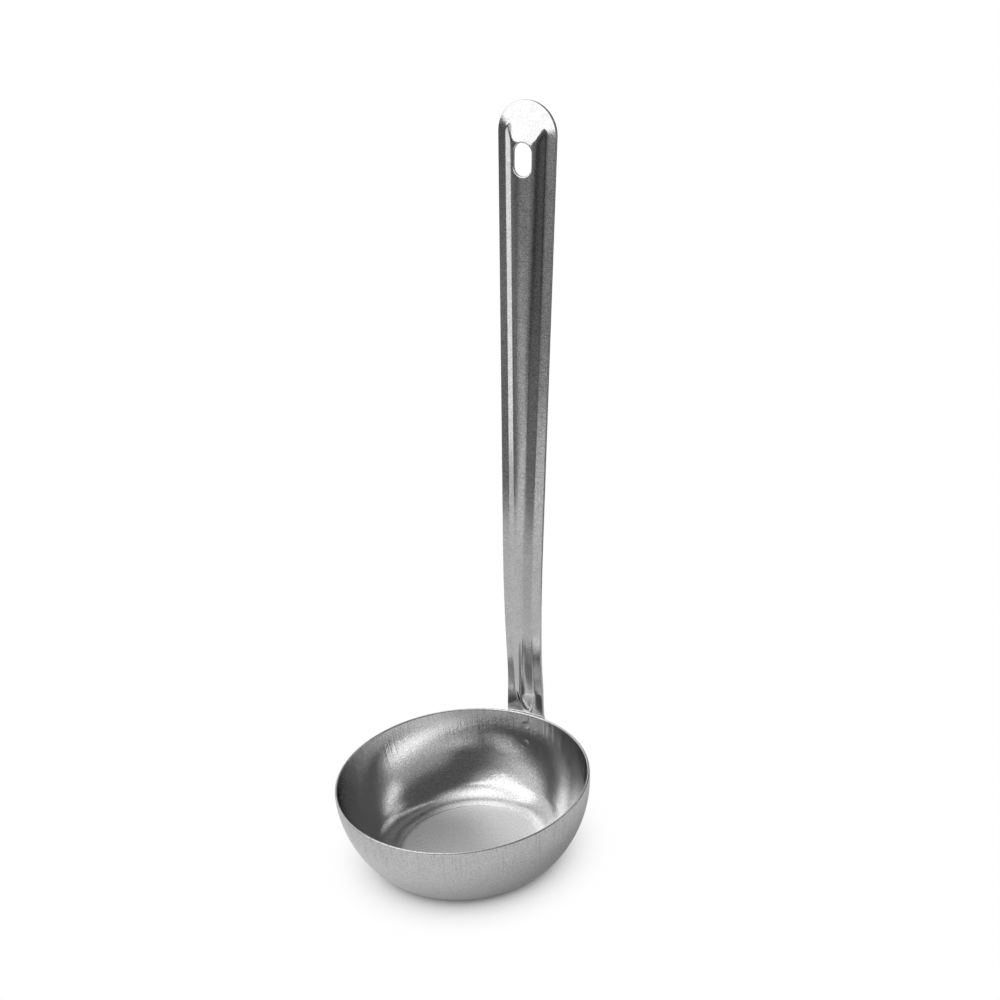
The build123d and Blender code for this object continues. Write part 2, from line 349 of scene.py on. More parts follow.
def handle_plan():
    """Plan grid of the blank inside its rounded edge: x and run at each node, rows from pad to tip.

    Across, a row takes shares of the flange, the wall, the plateau, the other wall and the other
    flange. Past the tip's centre a column's run grows by a share of the tip's radius times the square
    root of 1 - (x / edge) squared, which closes the end round. The pad's two corners are quarter
    circles made the same way."""
    inset = BLANK_EDGE_ROUND
    body = joined_spreads(
        np.linspace(-PAD_RUN + PAD_CORNER, PAD_ROWS_END, PAD_ROWS),
        np.linspace(PAD_ROWS_END, FOOT_ROWS_END, FOOT_ROWS),
        np.linspace(FOOT_ROWS_END, NECK_ROWS_END, NECK_ROWS),
        np.linspace(NECK_ROWS_END, WINDOW_START, BODY_ROWS),
        np.linspace(WINDOW_START, WINDOW_END, WINDOW_ROWS),
        np.array([WINDOW_END, TIP_CENTRE_RUN]),
    )
    layout = np.clip(body, RIB_FOOT_RUN, RIB_END_RUN - TIP_RADIUS)
    edge = half_width(body) - inset
    base = np.minimum(rib_half_width(layout), edge)
    top = base - rib_height(layout) / WALL_SLOPE
    flange_share = eased_spread(0, 1, FLANGE_COLUMNS, COLUMN_EASE)
    wall_share = eased_spread(0, 1, WALL_COLUMNS, COLUMN_EASE)
    plateau_share = eased_spread(-1, 1, PLATEAU_COLUMNS, COLUMN_EASE)
    columns = [
        -edge[:, None] + (edge - base)[:, None] * flange_share[:-1],
        -base[:, None] + (base - top)[:, None] * wall_share[:-1],
        top[:, None] * plateau_share[:-1],
        top[:, None] + (base - top)[:, None] * wall_share[:-1],
        base[:, None] + (edge - base)[:, None] * flange_share,
    ]
    x = np.concatenate(columns, 1)
    run = np.repeat(body[:, None], x.shape[1], 1)

    tip_share = np.linspace(0, 1, TIP_ROWS)[1:, None]
    tip_x = np.repeat(x[-1:], len(tip_share), 0)
    tip_reach = np.sqrt(np.maximum(1 - (x[-1] / edge[-1]) ** 2, 0))
    tip_run = TIP_CENTRE_RUN + (TIP_RADIUS - inset) * tip_reach * tip_share

    pad_share = np.linspace(1, 0, PAD_CORNER_ROWS)[:-1, None]
    pad_x = np.repeat(x[:1], len(pad_share), 0)
    corner = PAD_CORNER - inset
    into_corner = np.clip(np.abs(x[0]) - (edge[0] - corner), 0, corner)
    pad_reach = np.sqrt(np.maximum(corner**2 - into_corner**2, 0))
    pad_run = body[0] - pad_reach * pad_share
    return np.vstack([pad_x, x, tip_x]), np.vstack([pad_run, run, tip_run])


def edge_rings(round_radius):
    """Outward reach past the inset outline and depth of each ring round a rounded sheet edge: a quarter
    circle from the front, the middle of the sheet, and the same quarter circle to the back."""
    turn = np.linspace(0, math.pi / 2, EDGE_POINTS)
    front = [(round_radius * math.sin(a), round_radius * (1 - math.cos(a))) for a in turn[1:]]
    middle = [(round_radius, SHEET / 2)]
    back = [(reach, SHEET - depth) for reach, depth in reversed(front)]
    return front + middle + back


def loop_normals(points):
    """Outward plan normals of a closed loop of plan points that runs anticlockwise."""
    ahead = np.roll(points, -1, 0) - np.roll(points, 1, 0)
    length = np.maximum(np.linalg.norm(ahead, axis=1, keepdims=True), 1e-12)
    ahead = ahead / length
    return np.stack([ahead[:, 1], -ahead[:, 0]], -1)


def nearest(values, target):
    """Index of the value that is nearest to the target."""
    return int(np.argmin(np.abs(values - target)))


def make_handle():
    """The pressed strip: one plan grid lifted to the front and the back, with rounded edges between.

    Round the slot, rings go in even shares from the slot's outline to the window's edge. The blank's
    outline and the slot's outline are then each carried round the sheet's edge."""
    x, run = handle_plan()
    rows, columns = x.shape
    middle_run = run[:, columns // 2]
    low = nearest(middle_run, WINDOW_START)
    high = nearest(middle_run, WINDOW_END)
    left = nearest(x[nearest(middle_run, SLOT_RUN)], -WINDOW_HALF_WIDTH)
    right = columns - 1 - left
    keep = np.ones((rows - 1, columns - 1), bool)
    keep[low:high, left:right] = False

    index = np.arange(rows * columns).reshape(rows, columns)
    window = np.concatenate([
        index[low, left:right],
        index[low:high, right],
        index[high, left + 1:right + 1][::-1],
        index[low + 1:high + 1, left][::-1],
    ])
    outline = np.concatenate([
        index[0, :-1],
        index[:-1, -1],
        index[-1, 1:][::-1],
        index[1:, 0][::-1],
    ])
    plan = np.stack([x.ravel(), run.ravel()], -1)
    slot_centre = np.array([0, SLOT_RUN])
    rays = plan[window] - slot_centre
    unit = rays / np.linalg.norm(rays, axis=1, keepdims=True)
    hole, hole_normal = slot_outline(unit)
    hole_start = hole + hole_normal * SLOT_EDGE_ROUND + slot_centre
    steps = eased_spread(0, 1, SLOT_RINGS, SLOT_RING_EASE)
    slot_rings = [hole_start + (plan[window] - hole_start) * share for share in steps[:-1]]

    points = []
    faces = []
    count = 0

    def add(layer_plan, depth):
        """Lifts a layer of plan points to a depth in the sheet and gives the index of its first point."""
        nonlocal count
        points.append(sheet_points(layer_plan[:, 0], layer_plan[:, 1], depth))
        start = count
        count += len(layer_plan)
        return start

    loops = {}
    for side, depth in (("front", 0.0), ("back", SHEET)):
        start = add(plan, depth)
        faces.append(grid_faces(rows, columns, start, keep))
        rings = [add(ring, depth) + np.arange(len(window)) for ring in slot_rings]
        rings.append(start + window)
        for inner, outer in zip(rings[:-1], rings[1:]):
            faces.append(band_faces(inner, outer))
        loops[side] = (start + outline, rings[0])

    edge_normal = loop_normals(plan[outline])
    previous = loops["front"][0]
    for reach, depth in edge_rings(BLANK_EDGE_ROUND):
        ring = add(plan[outline] + edge_normal * reach, depth) + np.arange(len(outline))
        faces.append(band_faces(previous, ring))
        previous = ring
    faces.append(band_faces(previous, loops["back"][0]))

    previous = loops["front"][1]
    for reach, depth in edge_rings(SLOT_EDGE_ROUND):
        ring = add(hole_start - hole_normal * reach, depth) + np.arange(len(window))
        faces.append(band_faces(previous, ring))
        previous = ring
    faces.append(band_faces(previous, loops["back"][1]))

    obj = new_mesh_object("handle_strip", np.concatenate(points), np.concatenate(faces))
    clean_and_smooth(obj, HANDLE_MERGE)
    return obj


# Bowl and spot welds

def bowl_profile():
    """Half section from the middle of the underside, over the rim, to the middle of the inside floor:
    a flat floor, the corner's arc, the wall's arc and two quarter circles at the rim. Inside, the same
    arcs come back a sheet's thickness away, and the floor dips along a cosine at its crease."""
    corner_centre = (FLOOR_RADIUS, CORNER_RADIUS)
    wall_centre = (WALL_CENTRE, BOWL_DEPTH)
    join = math.atan2(CORNER_RADIUS - BOWL_DEPTH, FLOOR_RADIUS - WALL_CENTRE)
    down = -math.pi / 2
    edge = RIM_EDGE_ROUND
    wall_end = -edge / WALL_RADIUS
    inner = RIM_RADIUS - BOWL_SHEET
    crease_start = FLOOR_CREASE_RADIUS - FLOOR_CREASE_HALF
    crease_end = FLOOR_CREASE_RADIUS + FLOOR_CREASE_HALF
    floor_places = joined_spreads(
        np.linspace(FLOOR_START, crease_start, FLOOR_POINTS),
        np.linspace(crease_start, crease_end, CREASE_POINTS),
        np.array([crease_end, FLOOR_END]),
    )
    crease_share = np.clip(np.abs(floor_places - FLOOR_CREASE_RADIUS) / FLOOR_CREASE_HALF, 0, 1)
    crease = FLOOR_CREASE_DEPTH * (1 + np.cos(math.pi * crease_share)) / 2
    outer_floor = np.stack([floor_places, 0 * floor_places], -1)
    outer_corner = arc_points(corner_centre, CORNER_RADIUS, down, join, CORNER_POINTS)
    outer_wall = arc_points(wall_centre, WALL_RADIUS, join, wall_end, WALL_POINTS)[1:]
    rim_outer = arc_points((RIM_RADIUS - edge, BOWL_DEPTH - edge), edge, 0, math.pi / 2, RIM_POINTS)[1:]
    rim_inner = arc_points((inner + edge, BOWL_DEPTH - edge), edge, math.pi / 2, math.pi, RIM_POINTS)[:-1]
    inner_wall = arc_points(wall_centre, WALL_RADIUS - BOWL_SHEET, wall_end, join, WALL_POINTS)
    inner_corner = arc_points(corner_centre, CORNER_RADIUS - BOWL_SHEET, join, down, CORNER_POINTS)[1:]
    inner_floor = np.stack([floor_places, BOWL_SHEET - crease], -1)[::-1]
    profile = np.concatenate([
        outer_floor, outer_corner, outer_wall, rim_outer, rim_inner, inner_wall, inner_corner, inner_floor,
    ])
    first_inner = len(outer_floor) + len(outer_corner) + len(outer_wall) + len(rim_outer)
    return profile, first_inner


def weld_frames():
    """Centre on the inside of the wall and outward direction of each spot weld."""
    frames = []
    for depth in WELD_DEPTHS:
        lean = -depth / WALL_RADIUS
        outward = np.array([0, math.cos(lean), math.sin(lean)])
        centre = np.array([0, WALL_CENTRE, BOWL_DEPTH]) + outward * (WALL_RADIUS - BOWL_SHEET)
        frames.append((centre, outward))
    return frames


def make_bowl():
    """The bowl's profile (r, z) turned round Z: x = r cos a, y = r sin a. The angle grows by
    t + ease sin t from the front, so that the turns are closer together behind, where the welds are.
    Round each weld the inside is pushed outwards by a smooth dent."""
    profile, first_inner = bowl_profile()
    share = np.arange(BOWL_TURNS) / BOWL_TURNS * 2 * math.pi
    angle = share + BOWL_TURN_EASE * np.sin(share) + FRONT_ANGLE
    radius = profile[:, :1]
    height = profile[:, 1:] + 0 * angle
    grid = np.stack([radius * np.cos(angle), radius * np.sin(angle), height], -1)
    inner = grid[first_inner:]
    for centre, outward in weld_frames():
        # Points further in than the side's reach are on the other side of the bowl.
        offset = inner - centre
        along = offset @ outward
        across = np.linalg.norm(offset - along[..., None] * outward, axis=-1)
        flat_radius = WELD_DIMPLE_RADIUS * WELD_DIMPLE_FLAT_SHARE
        dent = WELD_DIMPLE * (1 - smooth_step(across, flat_radius, WELD_DIMPLE_RADIUS))
        inner += np.where(along > -WELD_SIDE_REACH, dent, 0)[..., None] * outward
    obj = new_mesh_object("bowl_shell", grid.reshape(-1, 3), turned_faces(len(profile), BOWL_TURNS))
    clean_and_smooth(obj, BOWL_MERGE)
    return obj


def make_welds():
    """Each spot weld is a short turned plug through both sheets, and its domed end shows in its dent:
    centre + s outward + r (across cos t + up sin t), where s and r follow the domed ends."""
    turn = np.arange(WELD_TURNS) / WELD_TURNS * 2 * math.pi
    across = np.array([1.0, 0, 0])
    radii = np.array(WELD_END_SHARES + WELD_END_SHARES[::-1]) * (WELD_RADIUS * WELD_SHOWN_SHARE)
    dome = np.array(WELD_END_HEIGHTS) * MM
    length = BOWL_SHEET + SEAT_GAP + SHEET - WELD_END_RECESS
    along = np.concatenate([-dome, (length + dome)[::-1]])
    points = []
    faces = []
    for number, (centre, outward) in enumerate(weld_frames()):
        up = np.cross(outward, across)
        ring = np.cos(turn)[:, None] * across + np.sin(turn)[:, None] * up
        grid = centre + along[:, None, None] * outward + radii[:, None, None] * ring
        points.append(grid.reshape(-1, 3))
        faces += turned_faces(len(radii), WELD_TURNS, number * len(radii) * WELD_TURNS)
    obj = new_mesh_object("weld_nuggets", np.concatenate(points), faces)
    clean_and_smooth(obj, WELD_MERGE)
    return obj


# Short forms for materials

def node_tools(tree):
    """Two short forms for a shader tree."""
    def add(kind, **settings):
        """A new node with its settings."""
        node = tree.nodes.new(kind)
        for key, value in settings.items():
            setattr(node, key, value)
        return node

    def link(a, b):
        """A link from an output to an input."""
        tree.links.new(a, b)

    return add, link


def math_tools(tree):
    """Three short forms for shader sums."""
    add, link = node_tools(tree)

    def calc(operation, *values):
        """One operation on values that are numbers or sockets."""
        node = add("ShaderNodeMath", operation=operation)
        for socket, value in zip(node.inputs, values):
            if isinstance(value, (int, float)):
                socket.default_value = value
            else:
                link(value, socket)
        return node.outputs[0]

    def chain(operation, *values):
        """The same operation carried over many values, such as their product or the largest of them."""
        total = values[0]
        for value in values[1:]:
            total = calc(operation, total, value)
        return total

    def step(value, fade, levels=(0.0, 1.0)):
        """The first level before the fade's start, the second past its end, and a smooth step between."""
        node = add("ShaderNodeMapRange", interpolation_type="SMOOTHSTEP")
        link(value, node.inputs["Value"])
        node.inputs["From Min"].default_value = fade[0]
        node.inputs["From Max"].default_value = fade[1]
        node.inputs["To Min"].default_value = levels[0]
        node.inputs["To Max"].default_value = levels[1]
        return node.outputs["Result"]

    return calc, chain, step


def object_place(tree):
    """Place on the object, in metres from the origin."""
    return tree.nodes.new("ShaderNodeTexCoord").outputs["Object"]


def split_xyz(tree, vector):
    """The x, y and z of a place or a direction."""
    add, link = node_tools(tree)
    split = add("ShaderNodeSeparateXYZ")
    link(vector, split.inputs[0])
    return tuple(split.outputs)


def grey(tree, level):
    """A grey whose red, green and blue are all the level."""
    add, link = node_tools(tree)
    color = add("ShaderNodeCombineColor")
    for socket in color.inputs:
        link(level, socket)
    return color.outputs[0]


def noise_at(tree, place, scale, detail, harshness):
    """Noise from 0 to 1 at a place, with scale waves to the metre."""
    add, link = node_tools(tree)
    noise = add("ShaderNodeTexNoise")
    noise.inputs["Scale"].default_value = scale
    noise.inputs["Detail"].default_value = detail
    noise.inputs["Roughness"].default_value = harshness
    link(place, noise.inputs["Vector"])
    return noise.outputs["Fac"]


def new_material(name):
    """Material with an empty shader tree."""
    material = bpy.data.materials.new(name)
    material.use_nodes = True
    material.node_tree.nodes.clear()
    return material


def steel_base(name):
    """Bare metal, whose colour and roughness each finish gives it."""
    material = new_material(name)
    add, link = node_tools(material.node_tree)
    out = add("ShaderNodeOutputMaterial")
    steel = add("ShaderNodeBsdfPrincipled")
    steel.inputs["Metallic"].default_value = 1.0
    link(steel.outputs["BSDF"], out.inputs["Surface"])
    return material, steel


def steel_with_relief(tree, steel, level, relief, distance):
    """Feeds a brightness and a relief height, in parts of a distance, into the steel."""
    add, link = node_tools(tree)
    link(grey(tree, level), steel.inputs["Base Color"])
    bump = add("ShaderNodeBump")
    bump.inputs["Distance"].default_value = distance
    link(relief, bump.inputs["Height"])
    link(bump.outputs["Normal"], steel.inputs["Normal"])


# Finishes. A noise has a scale, a detail and a harshness. A pair is where a fade starts and ends, or
# the levels that it goes between.

NOISE_SPAN = (0.3, 0.7)
GRAIN_NOISE = (1900, 3, 0.7)

MOTTLE_NOISE = (260, 3, 0.6)
MOTTLE_LEVELS = (-0.04, 0.04)
SPECK_NOISE = (1300, 1, 0.5)
SPECK_SPAN = (0.72, 0.78)
SPECK_LEVELS = (0.0, 0.2)
COARSE_GRAIN_LEVELS = (0.49, 1.0)
SMOOTH_GRAIN_LEVELS = (0.64, 0.88)
TIP_POLISH_HEIGHTS = (0.232, 0.24)
FOOT_POLISH_HEIGHTS = (0.125, 0.085)
HANDLE_ROUGHNESS = 0.1
HANDLE_RELIEF = 0.01 * MM

BOWL_GRAIN_LEVELS = (0.68, 0.99)
SAND_NOISE = (1300, 2, 0.6)
PATCH_NOISE = (90, 2, 0.5)
PATCH_REACH = 12.0 * MM
FINE_STREAK_NOISE = (1600, 3, 0.7)
BROAD_STREAK_NOISE = (500, 2, 0.6)
STREAK_SQUEEZE = 0.05
STREAK_HEIGHTS = (0.018, 0.032)
STREAK_SPAN = (0.5, 0.72)
STREAK_LEVELS = (0.0, -0.2)
FINE_STREAK_RELIEF = 1.5
BROAD_STREAK_RELIEF = 2.5
BOWL_RELIEF = 0.03 * MM
# Painted light: inside this radius the floor's colour is lifted, standing in for light that the floor
# catches.
FLOOR_PAINTED_LIGHT_EDGE = (0.023, 0.026)
FLOOR_PAINTED_LIGHT_LEVELS = (0.14, 0.0)
FLOOR_MATT_EDGE = (0.023, 0.027)
FLOOR_METALLIC = (0.75, 1.0)
FLOOR_ROUGHNESS = (0.45, 0.0)
WALL_ROUGHNESS_HEIGHTS = (0.012, 0.022)
WALL_ROUGHNESS = (0.17, 0.12)

WELD_LEVEL = 0.8
WELD_ROUGHNESS = 0.15


def handle_steel():
    """Satin steel with a fine grain, faint mottling and a few bright specks, where the noise is highest.

    The brightness is a coarse grain, or a smoother one where the tip and the low handle are polished,
    plus the mottle, plus the specks. The grain is also the relief."""
    material, steel = steel_base("handle_steel")
    tree = material.node_tree
    calc, chain, step = math_tools(tree)
    place = object_place(tree)
    z = split_xyz(tree, place)[2]
    grain = noise_at(tree, place, *GRAIN_NOISE)
    polish = calc("MAXIMUM", step(z, TIP_POLISH_HEIGHTS), step(z, FOOT_POLISH_HEIGHTS))
    coarse = step(grain, NOISE_SPAN, COARSE_GRAIN_LEVELS)
    smooth = step(grain, NOISE_SPAN, SMOOTH_GRAIN_LEVELS)
    polished = calc("MULTIPLY", polish, calc("SUBTRACT", smooth, coarse))
    mottle = step(noise_at(tree, place, *MOTTLE_NOISE), NOISE_SPAN, MOTTLE_LEVELS)
    specks = step(noise_at(tree, place, *SPECK_NOISE), SPECK_SPAN, SPECK_LEVELS)
    level = chain("ADD", coarse, polished, mottle, specks)
    steel_with_relief(tree, steel, level, grain, HANDLE_RELIEF)
    steel.inputs["Roughness"].default_value = HANDLE_ROUGHNESS
    return material


def bowl_steel():
    """Steel drawn upwards near the rim: streaks up the wall that fade to a fine grain below, and a more
    matt floor whose colour is lifted by painted light.

    The streaks are noise at (x / r, y / r) times the rim's radius and a squeezed z, which draws them out
    upwards. They start at a height that a broad noise moves up and down. The relief is a sanding noise
    plus the streaks."""
    material, steel = steel_base("bowl_steel")
    tree = material.node_tree
    add, link = node_tools(tree)
    calc, chain, step = math_tools(tree)
    place = object_place(tree)
    x, y, z = split_xyz(tree, place)
    radius = calc("SQRT", calc("ADD", calc("MULTIPLY", x, x), calc("MULTIPLY", y, y)))
    around = add("ShaderNodeCombineXYZ")
    link(calc("MULTIPLY", calc("DIVIDE", x, radius), RIM_RADIUS), around.inputs[0])
    link(calc("MULTIPLY", calc("DIVIDE", y, radius), RIM_RADIUS), around.inputs[1])
    link(calc("MULTIPLY", z, STREAK_SQUEEZE), around.inputs[2])
    fine_streaks = noise_at(tree, around.outputs[0], *FINE_STREAK_NOISE)
    broad_streaks = noise_at(tree, around.outputs[0], *BROAD_STREAK_NOISE)
    patches = noise_at(tree, place, *PATCH_NOISE)
    sand = noise_at(tree, place, *SAND_NOISE)
    grain = noise_at(tree, place, *GRAIN_NOISE)

    moved_height = calc("ADD", z, calc("MULTIPLY", patches, PATCH_REACH))
    near_rim = step(moved_height, STREAK_HEIGHTS)
    streaks = calc("MULTIPLY", near_rim, step(fine_streaks, STREAK_SPAN, STREAK_LEVELS))
    # Painted light: the floor's colour is made brighter than the wall's.
    floor_painted_light = step(radius, FLOOR_PAINTED_LIGHT_EDGE, FLOOR_PAINTED_LIGHT_LEVELS)
    level = chain("ADD", step(grain, NOISE_SPAN, BOWL_GRAIN_LEVELS), streaks, floor_painted_light)
    fine_relief = calc("MULTIPLY", fine_streaks, FINE_STREAK_RELIEF)
    broad_relief = calc("MULTIPLY", broad_streaks, BROAD_STREAK_RELIEF)
    drawn_relief = calc("MULTIPLY", near_rim, calc("ADD", fine_relief, broad_relief))
    steel_with_relief(tree, steel, level, calc("ADD", sand, drawn_relief), BOWL_RELIEF)

    floor_roughness = step(radius, FLOOR_MATT_EDGE, FLOOR_ROUGHNESS)
    wall_roughness = step(z, WALL_ROUGHNESS_HEIGHTS, WALL_ROUGHNESS)
    link(step(radius, FLOOR_MATT_EDGE, FLOOR_METALLIC), steel.inputs["Metallic"])
    link(calc("MAXIMUM", floor_roughness, wall_roughness), steel.inputs["Roughness"])
    return material


def weld_steel():
    """Plain bright steel, the same all over."""
    material, steel = steel_base("weld_steel")
    steel.inputs["Base Color"].default_value = (WELD_LEVEL, WELD_LEVEL, WELD_LEVEL, 1)
    steel.inputs["Roughness"].default_value = WELD_ROUGHNESS
    return material


# Camera

PICTURE_PIXELS = 1000
FOCAL_PIXELS = 2500.0
SENSOR_MM = 36.0
CAMERA_PITCH = 0.48319
CAMERA_ROLL = -0.10361
CAMERA_DISTANCE = 878.35 * MM
CAMERA_SIDE_PIXELS = -38.13
CAMERA_UP_PIXELS = 277.55
CAMERA_TURN = math.radians(33.7)
CAMERA_NEAREST = 0.01
CAMERA_FARTHEST = 20


def make_camera():
    """Camera found from the rim's ellipse and the handle's edges. It looks at the rim's centre from
    CAMERA_DISTANCE, pitched down, turned round Z and rolled, then slid across the picture."""
    level = np.array([math.cos(CAMERA_TURN), math.sin(CAMERA_TURN), 0])
    ahead = np.array([-math.sin(CAMERA_TURN), math.cos(CAMERA_TURN), 0])
    up = np.array([0, 0, 1.0])
    look = math.cos(CAMERA_PITCH) * ahead - math.sin(CAMERA_PITCH) * up
    over = math.sin(CAMERA_PITCH) * ahead + math.cos(CAMERA_PITCH) * up
    right = math.cos(CAMERA_ROLL) * level + math.sin(CAMERA_ROLL) * over
    top = -math.sin(CAMERA_ROLL) * level + math.cos(CAMERA_ROLL) * over
    slide = (top * CAMERA_UP_PIXELS - right * CAMERA_SIDE_PIXELS) * CAMERA_DISTANCE / FOCAL_PIXELS
    place = np.array([0, 0, BOWL_DEPTH]) - look * CAMERA_DISTANCE + slide
    data = bpy.data.cameras.new("camera")
    data.sensor_width = SENSOR_MM
    data.lens = SENSOR_MM * FOCAL_PIXELS / PICTURE_PIXELS
    data.clip_start = CAMERA_NEAREST
    data.clip_end = CAMERA_FARTHEST
    camera = bpy.data.objects.new("camera", data)
    turn = Matrix((right, top, -look)).transposed().to_4x4()
    camera.matrix_world = Matrix.Translation(Vector(place)) @ turn
    bpy.context.scene.collection.objects.link(camera)
    bpy.context.scene.camera = camera


# Paper under the ladle. Its edges don't show, because the camera sees it as white as the backdrop. The
# sky is the share of the directions above a place that are open as far as the shadow's reach.

PAPER_LEFT = -0.39
PAPER_RIGHT = 0.3
PAPER_FRONT = -1.3
PAPER_BACK = 0.16
PAPER_WHITE = 0.97
# Painted shade: the paper's colour, as reflections see it, darkens to the right where the ladle's shade
# falls.
PAPER_PAINTED_SHADE_WHITE = 0.8
PAPER_PAINTED_SHADE_FADE = (0.05, 0.16)
PAPER_GLOW = 0.06
SHADOW_REACH = 0.055
SHADOW_SAMPLES = 16
DARKEST_SKY = 0.15
OPEN_SKY = 0.72
DEEPEST_SHADE = 0.86


def make_paper():
    """White paper that the ladle stands on. Camera rays see it as white as the backdrop, less a shade
    that grows with the square of the share of sky that the ladle shuts off. All other rays see lit paper
    with a faint glow of its own, whose colour darkens to the right in a painted shade of the ladle."""
    corners = np.array([
        (PAPER_LEFT, PAPER_FRONT, 0), (PAPER_RIGHT, PAPER_FRONT, 0),
        (PAPER_RIGHT, PAPER_BACK, 0), (PAPER_LEFT, PAPER_BACK, 0),
    ])
    paper = new_mesh_object("paper", corners, [(0, 1, 2, 3)])
    material = new_material("white_paper")
    tree = material.node_tree
    add, link = node_tools(tree)
    calc, chain, step = math_tools(tree)
    x = split_xyz(tree, object_place(tree))[0]
    plain = add("ShaderNodeBsdfDiffuse")
    # Painted shade of the ladle: the paper's colour darkens towards the right.
    link(grey(tree, step(x, PAPER_PAINTED_SHADE_FADE, (PAPER_WHITE, PAPER_PAINTED_SHADE_WHITE))), plain.inputs["Color"])
    faint = add("ShaderNodeEmission")
    faint.inputs["Strength"].default_value = PAPER_GLOW
    lit = add("ShaderNodeAddShader")
    link(plain.outputs[0], lit.inputs[0])
    link(faint.outputs[0], lit.inputs[1])

    sky = add("ShaderNodeAmbientOcclusion", samples=SHADOW_SAMPLES)
    sky.inputs["Distance"].default_value = SHADOW_REACH
    cover = add("ShaderNodeMapRange")
    cover.inputs["From Min"].default_value = OPEN_SKY
    cover.inputs["From Max"].default_value = DARKEST_SKY
    link(sky.outputs["AO"], cover.inputs["Value"])
    shut = cover.outputs["Result"]
    shade = chain("MULTIPLY", shut, shut, DEEPEST_SHADE)
    shown = add("ShaderNodeEmission")
    link(calc("SUBTRACT", 1.0, shade), shown.inputs["Strength"])

    mix = add("ShaderNodeMixShader")
    link(add("ShaderNodeLightPath").outputs["Is Camera Ray"], mix.inputs[0])
    link(lit.outputs[0], mix.inputs[1])
    link(shown.outputs[0], mix.inputs[2])
    out = add("ShaderNodeOutputMaterial")
    link(mix.outputs[0], out.inputs["Surface"])
    paper.data.materials.append(material)


# Studio light

def hide_from_camera(obj):
    """Keeps a light surface out of the picture and lets it cast no shadow."""
    obj.visible_camera = False
    obj.visible_shadow = False


def light_material(name):
    """Emission that the big soft surfaces of the studio share, with no lamp sampling of its own."""
    material = new_material(name)
    add, link = node_tools(material.node_tree)
    glow = add("ShaderNodeEmission")
    out = add("ShaderNodeOutputMaterial")
    link(glow.outputs[0], out.inputs["Surface"])
    material.cycles.emission_sampling = "NONE"
    return material, glow


ROOM_RADIUS = 6.0
ROOM_TURNS = 48
ROOM_RINGS = 24

# Patches of light in the room, by the direction from the ladle: x is right, y is back and z is up. A
# pair is where a fade starts and ends, or the levels that it goes between.
OVERHEAD_SIDE_SLANT = 0.85
OVERHEAD_SIDE_FADE = (0.45, -0.27)
OVERHEAD_SIDE_LEVELS = (0.07, 1.0)
OVERHEAD_TILT = 0.22
OVERHEAD_EDGE_FADE = (0.6, 0.92)
ZENITH_FADE = (0.91, 0.985)
ZENITH_LEVELS = (1.0, 1.5)

LEFT_WALL_SLANT = 0.3
LEFT_WALL_FADE = (0.0, 0.85)
LEFT_WALL_LEVELS = (0.08, 0.62)
LEFT_WALL_FOOT_FADE = (0.14, 0.33)

LOW_LEFT_BACK_FADE = (-0.32, -0.06)
LOW_LEFT_SIDE_FADE = (-0.3, -0.5)
LOW_LEFT_TOP_FADE = (0.3, 0.1)
LOW_LEFT_LEVEL = 0.88

BACK_LEFT_SIDE_FADE = (-0.2, -0.45)
BACK_LEFT_BACK_FADE = (0.3, 0.6)
BACK_LEFT_LEVEL = 0.6

BACK_RIGHT_SIDE_FADE = (0.08, 0.42)
BACK_RIGHT_BACK_FADE = (0.25, 0.5)
BACK_RIGHT_FOOT_FADE = (0.3, 0.5)
BACK_RIGHT_TOP_FADE = (0.76, 0.66)
BACK_RIGHT_LEVEL = 0.5

RIGHT_WALL_SIDE_FADE = (0.45, 0.85)
RIGHT_WALL_TOP_FADE = (0.6, 0.3)
RIGHT_WALL_LEVEL = 0.3

STRIP_HEIGHT = 0.34
STRIP_REACH_FADE = (0.15, 0.04)
STRIP_BACK_FADE = (0.05, 0.35)
STRIP_SIDE_FADE = (0.4, 0.6)
STRIP_LEVEL = 0.95

FRONT_SPOT_X = -0.407
FRONT_SPOT_Y = -0.914
FRONT_SPOT_FADE = (0.955, 0.998)
FRONT_SPOT_LEVEL = 0.23
FRONT_SIDE_FADE = (0.8, -0.35)
FRONT_SIDE_LEVELS = (0.015, 0.18)
FRONT_DIM_HEIGHT_FADE = (0.0, -0.09)
FRONT_DIM_LEVELS = (0.45, 1.0)
FRONT_DIM_SIDE_FADE = (-0.35, -0.22)
FRONT_FOOT_FADE = (-0.17, -0.1)
FRONT_FOOT_LEVELS = (0.6, 1.0)
FRONT_GAP_SLANT = 0.2126
FRONT_GAP_REACH_FADE = (0.03, 0.08)
FRONT_GAP_LEVELS = (0.7, 1.0)
FRONT_GAP_FOOT_FADE = (-0.1, -0.135)

GROUND_FADE = (-0.03, -0.13)
GROUND_LEVEL = 0.15


